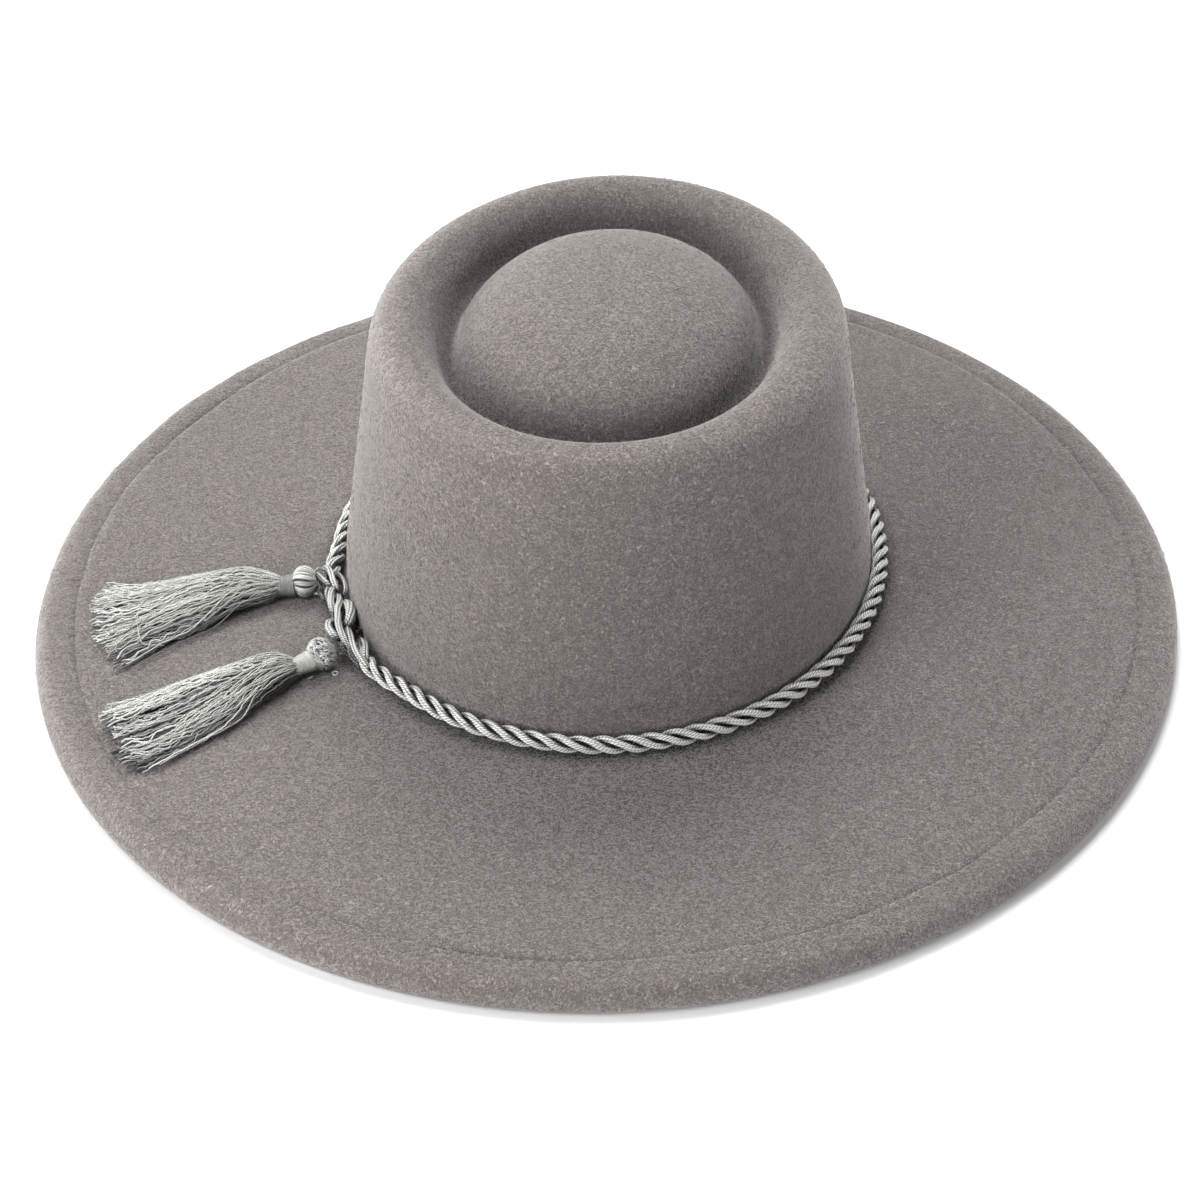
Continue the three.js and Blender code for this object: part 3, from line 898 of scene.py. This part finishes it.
def winding(start, end, radius, random):
    """A tight winding of thread round a core."""
    axis = unit(end - start)
    side = unit(np.cross(axis, (0, 0, 1)))
    up = np.cross(side, axis)
    turns = np.linalg.norm(end - start) / NECK_PITCH
    share = np.linspace(0, 1, round(turns * NECK_STEPS))
    angle = share * turns * TURN
    swell = radius * (1 + 0.05 * np.cos(share * math.pi) + 0.012 * np.sin(angle * 0.5))
    outward = turned(side, up, angle)
    path = start + share[:, None] * (end - start) + swell[:, None] * outward
    core = np.stack([start - 0.6 * axis, start, end, end + 0.6 * axis])
    thick = [radius * 0.8, radius - 0.1, radius - 0.1, radius * 0.8]
    points, faces, marks = tube(path, NECK_THREAD, 6, 0.0, outward)
    tone = random.uniform(0.7, 1, math.ceil(turns) + 1)[(share * turns).astype(int)]
    marks[:, 3] *= np.repeat(tone, 6)
    return [(points, faces, marks), tube(core, thick, 24)]


def brim_height(x, y):
    """The height of the brim's upper face, close enough to lay threads on."""
    return BRIM_FOOT_HEIGHT - BRIM_FALL * (np.hypot(x, BRIM_OVAL * y) - BRIM_FOOT)


def skirt_guides(rows):
    """The skirt's guides and heights, sampled evenly along the middle guide."""
    table = spline([[c for guide in row[:5] for c in guide] + [row[5]] for row in rows], 2.5)
    along = lengths(table[:, 4:6])
    even = np.linspace(0, along[-1], SKIRT_STATIONS)
    return np.column_stack([np.interp(even, along, column) for column in table.T])


def skirt_point(guides, share, across, high):
    """A place in a skirt: share of its length, -1 to 1 across it and -1 to 1 up through it."""
    share = np.clip(share, 0, 1)
    stations = np.linspace(0, 1, len(guides))
    found = np.column_stack([np.interp(share, stations, column) for column in guides.T])
    spots = found[:, :10].reshape(-1, 5, 2)
    height = found[:, 10]
    place = np.clip((across + 1) * 2, 0, 3.999)
    cell = place.astype(int)
    part = (place - cell)[:, None]
    index = np.arange(len(share))
    flat = spots[index, cell] * (1 - part) + spots[index, cell + 1] * part
    beyond = (np.abs(across) - 1).clip(0)[:, None] * np.sign(across)[:, None]
    flat = flat + beyond * (spots[:, 4] - spots[:, 0]) / 2
    round_off = np.sqrt(np.clip(1 - SKIRT_ROUND * np.clip(across, -1, 1) ** 2, 0, 1))
    low = brim_height(flat[:, 0], flat[:, 1]) + THREAD + 0.12
    lift = height / 2 * (1 - round_off) * np.clip(1 - 2.6 * share, 0, 1)
    z = low + lift + (high + 1) / 2 * (height - 2 * THREAD) * round_off
    return np.column_stack([flat, z])


def wander(random, count, size, waves):
    """A smooth wavering along a thread. Each wave is its length in shares of the thread."""
    share = np.linspace(0, 1, count)
    total = np.zeros(count)
    for wave in waves:
        total += random.normal(0, size) * np.sin(share / wave * TURN + random.uniform(0, TURN))
    return total


def skirt(guides, deepest, fade, highest, random):
    """Threads in locks that fan out between the guides, crinkled, with some astray and some short."""
    parts = []
    share = np.linspace(0, 1, SKIRT_STEPS)
    ease = share * share * (3 - 2 * share)
    settle_in = np.clip(share * 2.2, 0, 1)
    for lock in range(SKIRT_LOCKS):
        middle = -0.9 + 1.8 * (lock + random.random()) / SKIRT_LOCKS
        level = random.uniform(-0.75, 0.95)
        reach = random.normal(0.955, 0.032)
        sway = wander(random, SKIRT_STEPS, 0.07, (1.4, 0.7))
        sway_up = wander(random, SKIRT_STEPS, 0.1, (1.1, 0.6))
        for _ in range(SKIRT_THREADS):
            near = random.normal(0, 0.055)
            near_up = random.normal(0, 0.2)
            mixed = random.uniform(-1, 1), random.uniform(-1, 1)
            across = middle + near + sway * share + (mixed[0] - middle) * (1 - settle_in) * 0.6
            high = level + near_up + sway_up + (mixed[1] - level) * (1 - settle_in) * 0.6
            if random.random() < SKIRT_STRAYS:
                across = across + random.normal(0, 0.3) * ease
                high = high + 0.5
            across = across + wander(random, SKIRT_STEPS, 0.013, (0.31, 0.17, 0.1)) * (0.3 + share)
            high = high + wander(random, SKIRT_STEPS, 0.06, (0.3, 0.15, 0.09))
            edge = np.abs(across)
            across = np.where(edge > 1, np.sign(across) * (1 + (edge - 1) * 0.3), across)
            length = min(1.0, reach + random.normal(0, 0.016))
            if random.random() < SKIRT_SHORT:
                length -= random.uniform(0.03, 0.22)
            high = np.clip(high, -1, 1.08)
            path = skirt_point(guides, share * length, across, high)
            for c, size in ((0, 1.0), (1, 1.0), (2, 0.8)):
                path[:, c] += size * wander(random, SKIRT_STEPS, SKIRT_CRINKLE, (0.12, 0.07, 0.043, 0.033))
            path[:, 2] = np.maximum(path[:, 2], brim_height(path[:, 0], path[:, 1]) + THREAD)
            thick = THREAD * random.uniform(0.85, 1.15)
            points, faces, marks = tube(path, thick, 3, random.uniform(0, 900))
            # Painted shade: deeper threads are painted darker
            shade = deepest + (highest - deepest) * ((high + 1) / 2.08) ** fade
            marks[:, 3] = np.repeat(shade, 3)
            parts.append((points, faces, marks))
    return parts


def skirt_core(guides):
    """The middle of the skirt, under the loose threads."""
    around = np.arange(CORE_SIDES) / CORE_SIDES * TURN
    across = 0.86 * np.cos(around)
    high = -0.25 + 0.55 * np.sin(around)
    shares = np.linspace(0, CORE_LENGTH, CORE_ROWS)
    grid = [skirt_point(guides, np.full(CORE_SIDES, share), across, high) for share in shares]
    return np.vstack(grid), flat_ended_faces(CORE_ROWS, CORE_SIDES)


def head_painted_shade(height, middle, radius):
    """Painted shade on a tassel's head: full tone at its upper side and painted dark below."""
    lowest, level, highest = HEAD_PAINTED_SHADE
    return np.clip(level + HEAD_PAINTED_SHADE_RISE * (height - middle) / radius, lowest, highest)


def tassel(node, table, ball, head_thread, thread, painted_shade_thread):
    """One tassel: its head and neck, its skirt with loose threads, and the skirt's near black core of
    painted shade.
    """
    random = np.random.default_rng(table["seed"])
    random_skirt = np.random.default_rng(table["skirt_seed"])
    centre = np.array(table["ball"])
    start, end = (np.array(p, float) for p in table["neck"])
    axis = unit(centre - end)
    parts = []
    for points, faces, marks in ball(centre, axis, table["ball_radius"], table["ball_length"], random):
        marks[:, 3] *= head_painted_shade(points[:, 2], centre[2], table["ball_radius"])
        parts.append((points, faces, marks))
    middle = (start[2] + end[2]) / 2
    for points, faces, marks in winding(start, end, table["neck_radius"], random):
        marks[:, 3] *= table["neck_painted_shade"] * head_painted_shade(points[:, 2], middle, table["neck_radius"])
        parts.append((points, faces, marks))
    points, faces, marks = join(parts)
    make_mesh(node + "_head", points, faces, head_thread, [node], marks)
    guides = skirt_guides(table["skirt"])
    threads = skirt(guides, *table["shade"], random_skirt)
    for loose in table["loose"]:
        points, faces, marks = tube(spline(loose, 0.8), LOOSE_THREAD, 5, random_skirt.uniform(0, 900))
        marks[:, 3] = LOOSE_THREAD_TONE
        threads.append((points, faces, marks))
    points, faces, marks = join(threads)
    make_mesh(node + "_skirt", points, faces, thread, [node], marks)
    # The core is near black: painted shade in the gaps between the threads
    points, faces = skirt_core(guides)
    make_mesh(node + "_core", points, faces, painted_shade_thread)


def seen_from(turn, elevation):
    """The direction at a turn from the front (-Y) towards +X and an elevation, both in degrees."""
    turn, elevation = math.radians(turn), math.radians(elevation)
    return Vector((
        math.sin(turn) * math.cos(elevation),
        -math.cos(turn) * math.cos(elevation),
        math.sin(elevation)))


def camera():
    back = seen_from(CAMERA_TURN, CAMERA_ELEVATION)
    data = bpy.data.cameras.new("camera")
    data.lens = CAMERA_LENS
    data.sensor_width = CAMERA_SENSOR
    data.clip_start = 0.05
    data.clip_end = 50
    eye = bpy.data.objects.new("camera", data)
    turn = (-back).to_track_quat("-Z", "Y").to_matrix().to_4x4()
    eye.matrix_world = (
        Matrix.Translation(CAMERA_AIM + back * CAMERA_DISTANCE)
        @ turn @ Matrix.Rotation(math.radians(CAMERA_ROLL), 4, "Z"))
    bpy.context.scene.collection.objects.link(eye)
    bpy.context.scene.camera = eye


def softbox(name, turn, elevation, distance, size, power):
    place = distance * seen_from(turn, elevation)
    data = bpy.data.lights.new(name, "AREA")
    data.shape = "DISK"
    data.size = size
    data.energy = power
    lamp = bpy.data.objects.new(name, data)
    lamp.location = place + SOFTBOX_AIM
    lamp.rotation_euler = (-place).to_track_quat("-Z", "Y").to_euler()
    bpy.context.scene.collection.objects.link(lamp)


def studio():
    scene = bpy.context.scene
    scene.view_settings.view_transform = "Standard"
    world = bpy.data.worlds.new("studio")
    world.use_nodes = True
    world.node_tree.nodes["Background"].inputs["Strength"].default_value = WORLD_STRENGTH
    scene.world = world
    for row in SOFTBOXES:
        softbox(*row)
    mesh = bpy.data.meshes.new("floor")
    corners = [(-1, -1, 0), (1, -1, 0), (1, 1, 0), (-1, 1, 0)]
    mesh.from_pydata([FLOOR_REACH * Vector(c) for c in corners], [], [(0, 1, 2, 3)])
    mesh.materials.append(floor_material())
    floor = bpy.data.objects.new("floor", mesh)
    scene.collection.objects.link(floor)


camera()
studio()
felt = felt_material()
felt_body(felt)
hem(felt)
hem_stitches(felt)
nap(nap_material())
rope_band(rayon_material("rope", 0.24, 0.8, 0.27, 1.05))
# The tie's rope material is a darker copy of the rope's, as painted shade among the tie's strands
rope_tie(rayon_material("rope_tie", 0.18, 0.76, 0.27, 1.05))
tassel_materials = [
    rayon_material("tassel_head", 0.25, 0.95, 0.28, 0.8),
    rayon_material("tassel_thread", 0.29, 0.95, 0.3, 0.9),
    # Near black, painted shade for the skirt's core
    rayon_material("tassel_thread_painted_shade", 0.02, 0.04, 0.8, 0.5),
]
tassel("tassel_upper", TASSEL_UPPER, ridged_ball, *tassel_materials)
tassel("tassel_lower", TASSEL_LOWER, knobbly_ball, *tassel_materials)
